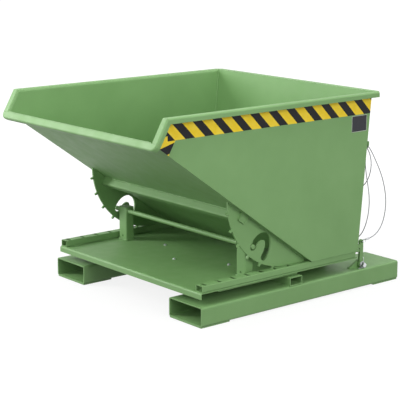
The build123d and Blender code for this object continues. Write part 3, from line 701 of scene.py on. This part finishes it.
class HOPPER_OT_welds(bpy.types.Operator):
    """Lay the painted weld beads of the base and of the bucket"""

    bl_idname = "hopper.welds"
    bl_label = "Weld beads"

    def bead_tree(self):
        """A tree that lays a rippled bead, a little uneven by hand, along each guide line."""
        tree, given = new_tree(
            "weld_bead",
            [
                ("Size", "NodeSocketFloat", WELD_SIZE),
                ("Ripple", "NodeSocketFloat", WELD_RIPPLE),
            ],
        )
        even, angle = wound_path(tree, given["Guide"], given["Ripple"], WELD_STEPS)
        hand_width = 0.03
        ripple_share = 0.1
        wave = add(tree, "ShaderNodeMath", {0: angle}, operation="SINE")
        spot = add(tree, "GeometryNodeInputPosition")
        hand = add(
            tree,
            "ShaderNodeTexNoise",
            {"Vector": spot.outputs[0], "Scale": 1 / hand_width, "Detail": 2.0},
        )
        swell = add(
            tree,
            "ShaderNodeMapRange",
            {
                "Value": hand.outputs["Fac"],
                "From Min": NOISE_LOW,
                "From Max": NOISE_HIGH,
                "To Min": 0.85,
                "To Max": 1.1,
            },
        )
        width = add(
            tree,
            "ShaderNodeMath",
            {0: wave.outputs[0], 1: ripple_share, 2: swell.outputs["Result"]},
            operation="MULTIPLY_ADD",
        )
        sized = add(
            tree, "GeometryNodeSetCurveRadius", {"Curve": even, "Radius": width.outputs[0]}
        )
        ring = add(
            tree,
            "GeometryNodeCurvePrimitiveCircle",
            {"Resolution": WELD_SIDES, "Radius": given["Size"]},
        )
        bead = add(
            tree,
            "GeometryNodeCurveToMesh",
            {"Curve": sized.outputs[0], "Profile Curve": ring.outputs[0], "Fill Caps": True},
        )
        close_tree(tree, bead.outputs[0], bpy.data.materials[ENAMEL])
        return tree

    def base_lines(self, lift):
        """Bead lines round the posts, the bar and the bracket, along the rails, and under the
        front tube."""
        lines = []
        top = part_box("base_plate")[1].z + lift
        bar_low, bar_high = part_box("guide_bar")
        bar = (bar_low + bar_high) / 2
        bar_radius = (bar_high.z - bar_low.z) / 2 + lift
        cut = CORNER_CUT
        for side in ("left", "right"):
            low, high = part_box(f"post_{side}")
            low = low - Vector((lift, lift, 0))
            high = high + Vector((lift, lift, 0))
            lines.append([
                (low.x + cut, low.y, top),
                (high.x - cut, low.y, top),
                (high.x, low.y + cut, top),
                (high.x, high.y - cut, top),
                (high.x - cut, high.y, top),
                (low.x + cut, high.y, top),
                (low.x, high.y - cut, top),
                (low.x, low.y + cut, top),
                (low.x + cut, low.y, top),
            ])
            for y in (low.y, high.y):
                centre = Vector((bar.x, y, bar.z))
                across = Vector((1, 0, 0))
                up = Vector((0, 0, 1))
                lines.append(ring_line(centre, across, up, bar_radius, BAR_RING))
            low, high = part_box(f"rail_{side}")
            inner = low.y - lift if side == "left" else high.y + lift
            for i in range(RAIL_STITCHES):
                x = low.x + RAIL_STITCH_START + RAIL_STITCH_PITCH * i
                lines.append([(x, inner, top), (x + RAIL_STITCH, inner, top)])
            tube_low, tube_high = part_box("cross_tube_front")
            low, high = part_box(f"fork_pocket_{side}")
            seam_low = max(low.y, tube_low.y) + TUBE_SEAM_START
            seam_high = min(high.y, tube_high.y) - TUBE_SEAM_STOP
            for x in (tube_low.x + TUBE_SEAM_IN, tube_high.x - TUBE_SEAM_IN):
                lines.append([(x, y, high.z + TUBE_SEAM_UP) for y in (seam_low, seam_high)])
        # The lever turns on the bracket's outer side, so that side has no bead.
        low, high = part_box("latch_bracket")
        foot = low.z + lift
        outer = high.y - cut
        lines.append([
            (low.x - lift, outer, foot),
            (low.x - lift, low.y - lift, foot),
            (high.x + lift, low.y - lift, foot),
            (high.x + lift, outer, foot),
        ])
        return lines

    def bucket_lines(self, lift):
        """Bead lines in the corners of the bucket, and of what is welded under and behind it."""
        lines = []
        low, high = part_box("floor_sheet")
        foot = REAR_FOOT + Vector((REAR_INNER + lift, 0, SHEET + lift))
        flat_end = BEND + Vector((-CORNER_CUT, 0, SHEET + lift))
        slope = BEND - FLOOR_OUT * (SHEET + lift)
        for y in (low.y + lift, high.y - lift):
            across = Vector((0, y, 0))
            lines.append([foot + across, foot + across + REAR_WAY * REAR_SEAM])
            lines.append([
                foot + across,
                flat_end + across,
                slope + across + FLOOR_WAY * CORNER_CUT,
                slope + across + FLOOR_WAY * SLOPE_SEAM,
            ])
        lines.append([foot + Vector((0, low.y, 0)), foot + Vector((0, high.y, 0))])
        under = BEND + FLOOR_OUT * lift
        for side in ("left", "right"):
            low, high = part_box(f"segment_{side}")
            for y in (low.y - lift, high.y + lift):
                for start in SEGMENT_STITCH_STARTS:
                    place = under + Vector((0, y, 0)) + FLOOR_WAY * start
                    lines.append([place, place + FLOOR_WAY * SEGMENT_STITCH])
        inner = Vector((0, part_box("segment_left")[0].y, 0))
        for along in (CHANNEL_EDGES[0] - lift, CHANNEL_EDGES[1] + lift):
            place = under + FLOOR_WAY * along
            lines.append([place - inner, place + inner])
        behind = REAR_FOOT + REAR_OUT * lift
        low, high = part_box("catch_ear")
        for y in (low.y - lift, high.y + lift):
            foot = behind + Vector((0, y, 0))
            ear_top = high.z - low.z - CORNER_CUT
            lines.append([foot + REAR_WAY * CORNER_CUT, foot + REAR_WAY * ear_top])
        low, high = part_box("rope_hook")
        radius = (high.y - low.y) / 2 + lift
        centre = behind + REAR_WAY * (HOOK_HEIGHT - REAR_FOOT.z) / REAR_WAY.z
        centre += Vector((0, (low.y + high.y) / 2, 0))
        lines.append(ring_line(centre, Vector((0, 1, 0)), REAR_WAY, radius, HOOK_RING))
        return lines

    def execute(self, context):
        sizes = context.scene.hopper_finish
        tree = self.bead_tree()
        # A bead's middle stands off both sheets, so that it doesn't come through a thin one.
        lift = sizes.weld_size / 2
        bead = {"Size": sizes.weld_size, "Ripple": sizes.weld_ripple}
        for body, lines in (("base", self.base_lines(lift)), ("bucket", self.bucket_lines(lift))):
            guide = line_mesh(f"{body}_weld_guide", lines)
            beads = grow(guide, tree, bead, f"{body}_weld_beads")
            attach(beads, body)
        return {"FINISHED"}


class HOPPER_OT_fittings(bpy.types.Operator):
    """Plate the bolts, the latch nut and the rope eye, and finish the pressed rope fittings"""

    bl_idname = "hopper.fittings"
    bl_label = "Bolts and rope fittings"

    def execute(self, context):
        # Zinc plating: a cool bright grey, a little cloudy, with a soft gloss.
        zinc = bare_metal("bright_zinc_plating", "#C4C7CA", "#DEE0E2", rough=0.38, spangle=0.004)
        dress(nodes_in("zinc"), zinc)
        # Pressed aluminium: paler and duller than zinc, with press marks a few millimetres wide.
        pressed = bare_metal("pressed_aluminium", "#B2B3B5", "#CDCED0", rough=0.42, spangle=0.003)
        dress(nodes_in("rope_fitting"), pressed)
        return {"FINISHED"}


class HOPPER_OT_tape(bpy.types.Operator):
    """Print the striped tape along the sides and down the mouth"""

    bl_idname = "hopper.tape"
    bl_label = "Striped tape"

    def execute(self, context):
        band = striped_film("striped_marking_film_band", BAND_SLANT, BAND_START)
        dress(["hazard_tape_left", "hazard_tape_right"], band)
        mouth = striped_film("striped_marking_film_mouth", MOUTH_SLANT, MOUTH_START)
        dress(["mouth_tape_left", "mouth_tape_right"], mouth)
        return {"FINISHED"}


class HOPPER_OT_label(bpy.types.Operator):
    """Finish the blank label plate with its pale border"""

    bl_idname = "hopper.label"
    bl_label = "Blank label"

    def execute(self, context):
        low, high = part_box("label_plate")
        dress(["label_plate"], label_film(low, high))
        return {"FINISHED"}


class HOPPER_OT_rope(bpy.types.Operator):
    """Lay the wire rope from the latch to the hook, as twisted strands"""

    bl_idname = "hopper.rope"
    bl_label = "Wire rope"

    def strand_tree(self, steel):
        """A tree that twists strands along a guide line."""
        tree, given = new_tree(
            "wire_rope",
            [
                ("Diameter", "NodeSocketFloat", ROPE_DIAMETER),
                ("Lay", "NodeSocketFloat", ROPE_LAY),
                ("Strands", "NodeSocketInt", ROPE_STRANDS),
            ],
        )
        even, angle = wound_path(tree, given["Guide"], given["Lay"], ROPE_STEPS)
        twisted = add(tree, "GeometryNodeSetCurveTilt", {"Curve": even, "Tilt": angle})
        points = add(
            tree, "ShaderNodeMath", {0: given["Strands"], 1: STRAND_POINTS}, operation="MULTIPLY"
        )
        outer = add(tree, "ShaderNodeMath", {0: given["Diameter"], 1: 0.5}, operation="MULTIPLY")
        ring = add(
            tree,
            "GeometryNodeCurvePrimitiveCircle",
            {"Resolution": points.outputs[0], "Radius": outer.outputs[0]},
        )
        # One of each strand's points on the ring lies in the groove before the next strand.
        index = add(tree, "GeometryNodeInputIndex")
        phase = add(
            tree,
            "ShaderNodeMath",
            {0: index.outputs[0], 1: 2 * math.pi / STRAND_POINTS},
            operation="MULTIPLY",
        )
        wave = add(tree, "ShaderNodeMath", {0: phase.outputs[0]}, operation="COSINE")
        groove = add(
            tree,
            "ShaderNodeMapRange",
            {"Value": wave.outputs[0], "From Min": -1.0, "To Min": 1.0, "To Max": STRAND_GROOVE},
        )
        spot = add(tree, "GeometryNodeInputPosition")
        shaped = add(
            tree,
            "ShaderNodeVectorMath",
            {0: spot.outputs[0], "Scale": groove.outputs["Result"]},
            operation="SCALE",
        )
        profile = add(
            tree,
            "GeometryNodeSetPosition",
            {"Geometry": ring.outputs[0], "Position": shaped.outputs[0]},
        )
        tube = add(
            tree,
            "GeometryNodeCurveToMesh",
            {"Curve": twisted.outputs[0], "Profile Curve": profile.outputs[0], "Fill Caps": True},
        )
        close_tree(tree, tube.outputs[0], steel)
        return tree

    def execute(self, context):
        sizes = context.scene.hopper_rope
        # Galvanised wire rope: a dull cool grey, mottled where the zinc has weathered.
        steel = bare_metal("galvanised_wire_rope", "#6C6E72", "#8F9195", rough=0.5, spangle=0.002)
        tree = self.strand_tree(steel)
        strands = {"Diameter": sizes.diameter, "Lay": sizes.lay, "Strands": sizes.strands}

        way = route_points(LEAD_ROUTE, "lead_way")
        lead = grow(line_mesh("lead_guide", [way]), tree, strands, "rope_lead_strands")
        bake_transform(lead)
        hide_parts("rope_lead")

        way = route_points(PULL_ROUTE, "pull_way")
        pull = grow(line_mesh("pull_guide", [way]), tree, strands, "pull_rope_strands")
        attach(pull, "bucket")
        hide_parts("pull_rope")
        return {"FINISHED"}


class HOPPER_OT_spring(bpy.types.Operator):
    """Wind the latch spring as one round wire with its two legs"""

    bl_idname = "hopper.spring"
    bl_label = "Latch spring"

    def wire_tree(self, steel):
        """A tree that makes a guide line a round wire."""
        tree, given = new_tree("round_wire", [("Wire", "NodeSocketFloat", SPRING_WIRE)])
        path = add(tree, "GeometryNodeMeshToCurve", {"Mesh": given["Guide"]})
        half = add(tree, "ShaderNodeMath", {0: given["Wire"], 1: 0.5}, operation="MULTIPLY")
        ring = add(
            tree,
            "GeometryNodeCurvePrimitiveCircle",
            {"Resolution": SPRING_SIDES, "Radius": half.outputs[0]},
        )
        tube = add(
            tree,
            "GeometryNodeCurveToMesh",
            {"Curve": path.outputs[0], "Profile Curve": ring.outputs[0], "Fill Caps": True},
        )
        close_tree(tree, tube.outputs[0], steel)
        return tree

    def execute(self, context):
        low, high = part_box("latch_bolt")
        axis_x = (low.x + high.x) / 2
        axis_z = (low.z + high.z) / 2
        low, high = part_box("latch_spring")
        wire = SPRING_WIRE
        radius = axis_z - low.z - wire / 2
        pitch = 0.0036
        turns = 2.25
        leg = 0.030
        hook = 0.012
        bend = 0.005
        # Along a straight leg the wire moves sideways as it does in the coil.
        drift = leg * pitch / (2 * math.pi * radius)
        start_y = high.y - wire / 2 - pitch * turns - drift
        corner = Vector((axis_x - radius, start_y - drift, axis_z + leg))
        points = [corner + Vector((0, -hook, 0))]
        for i in range(SPRING_BEND_STEPS + 1):
            turn = math.pi / 2 * i / SPRING_BEND_STEPS
            round_off = Vector((0, math.sin(turn) - 1, math.cos(turn) - 1))
            points.append(corner + bend * round_off)
        for i in range(int(turns * SPRING_STEPS) + 1):
            turn = 2 * math.pi * i / SPRING_STEPS
            middle = Vector((axis_x, start_y + pitch * i / SPRING_STEPS, axis_z))
            points.append(middle - radius * Vector((math.cos(turn), 0, math.sin(turn))))
        points.append(points[-1] + Vector((leg, drift, 0)))
        # Zinc-plated spring wire: a cool bright grey that glints on each turn.
        steel = bare_metal(
            "zinc_plated_spring_wire", "#A4A7AA", "#C2C4C7", rough=0.36, spangle=0.003
        )
        tree = self.wire_tree(steel)
        guide = line_mesh("spring_guide", [points])
        spring = grow(guide, tree, {"Wire": wire}, "latch_spring_wire")
        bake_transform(spring)
        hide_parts("latch_spring")
        return {"FINISHED"}


class HOPPER_OT_stage(bpy.types.Operator):
    """Set the pale floor, the soft lamps and the camera"""

    bl_idname = "hopper.stage"
    bl_label = "Studio"

    def set_floor(self, scene):
        """The floor that the hopper stands on."""
        half = FLOOR_HALF
        corners = [(-half, -half, 0), (half, -half, 0), (half, half, 0), (-half, half, 0)]
        mesh = bpy.data.meshes.new("studio_floor")
        mesh.from_pydata(corners, [], [(0, 1, 2, 3)])
        floor = bpy.data.objects.new("studio_floor", mesh)
        scene.collection.objects.link(floor)
        mesh.materials.append(floor_paint())

    def set_world(self, scene):
        """Even light from all round, and the white that the camera sees behind the floor."""
        world = bpy.data.worlds.new("studio")
        scene.world = world
        world.use_nodes = True
        tree = world.node_tree
        tree.nodes.clear()
        level = add(
            tree,
            "ShaderNodeMapRange",
            {"Value": background_rays(tree), "To Min": WORLD_LEVEL, "To Max": 1.0},
        )
        sky = add(
            tree,
            "ShaderNodeBackground",
            {"Color": (1, 1, 1, 1), "Strength": level.outputs["Result"]},
        )
        add(tree, "ShaderNodeOutputWorld", {"Surface": sky.outputs[0]})

    def set_lamps(self, scene):
        """Soft lamps that all face the middle of the hopper."""
        for name, place, width, height, power in LAMPS:
            lamp = bpy.data.lights.new(name, "AREA")
            lamp.shape = "RECTANGLE"
            lamp.size = width
            lamp.size_y = height
            lamp.energy = power
            holder = bpy.data.objects.new(name, lamp)
            holder.location = place
            aim = LAMP_AIM - Vector(place)
            holder.rotation_euler = aim.to_track_quat("-Z", "Y").to_euler()
            scene.collection.objects.link(holder)

    def set_camera(self, scene):
        """The camera at the photograph's viewing angle."""
        lens = bpy.data.cameras.new("camera")
        lens.lens = 121.08
        lens.sensor_width = 36.0
        lens.shift_x = 0.01295
        lens.shift_y = -0.0019
        lens.clip_end = 100.0
        camera = bpy.data.objects.new("camera", lens)
        camera.location = CAMERA_PLACE
        level = math.cos(CAMERA_TILT)
        aim = Vector((
            -math.sin(CAMERA_TURN) * level,
            -math.cos(CAMERA_TURN) * level,
            -math.sin(CAMERA_TILT),
        ))
        camera.rotation_euler = aim.to_track_quat("-Z", "Y").to_euler()
        scene.collection.objects.link(camera)
        scene.camera = camera

    def execute(self, context):
        scene = context.scene
        scene.view_settings.view_transform = "Standard"
        self.set_floor(scene)
        self.set_world(scene)
        self.set_lamps(scene)
        self.set_camera(scene)
        return {"FINISHED"}


OPERATORS = (
    HOPPER_OT_rope,
    HOPPER_OT_spring,
    HOPPER_OT_steelwork,
    HOPPER_OT_welds,
    HOPPER_OT_fittings,
    HOPPER_OT_tape,
    HOPPER_OT_label,
    HOPPER_OT_stage,
)


class HOPPER_PT_sidebar(bpy.types.Panel):
    """Lists the pieces of the hopper that can be dressed"""

    bl_label = "Tipping hopper"
    bl_idname = "HOPPER_PT_sidebar"
    bl_space_type = "VIEW_3D"
    bl_region_type = "UI"
    bl_category = "Hopper"

    def draw(self, context):
        for operator in OPERATORS:
            self.layout.operator(operator.bl_idname)


CLASSES = (HopperFinish, HopperTape, HopperRope, *OPERATORS, HOPPER_PT_sidebar)


def register():
    for cls in CLASSES:
        bpy.utils.register_class(cls)
    bpy.types.Scene.hopper_finish = bpy.props.PointerProperty(type=HopperFinish)
    bpy.types.Scene.hopper_tape = bpy.props.PointerProperty(type=HopperTape)
    bpy.types.Scene.hopper_rope = bpy.props.PointerProperty(type=HopperRope)


def unregister():
    del bpy.types.Scene.hopper_rope
    del bpy.types.Scene.hopper_tape
    del bpy.types.Scene.hopper_finish
    for cls in reversed(CLASSES):
        bpy.utils.unregister_class(cls)


def main():
    register()
    bpy.ops.hopper.stage()
    bpy.ops.hopper.rope()
    bpy.ops.hopper.spring()
    bpy.ops.hopper.steelwork()
    bpy.ops.hopper.welds()
    bpy.ops.hopper.fittings()
    bpy.ops.hopper.tape()
    bpy.ops.hopper.label()


if __name__ == "__main__":
    main()
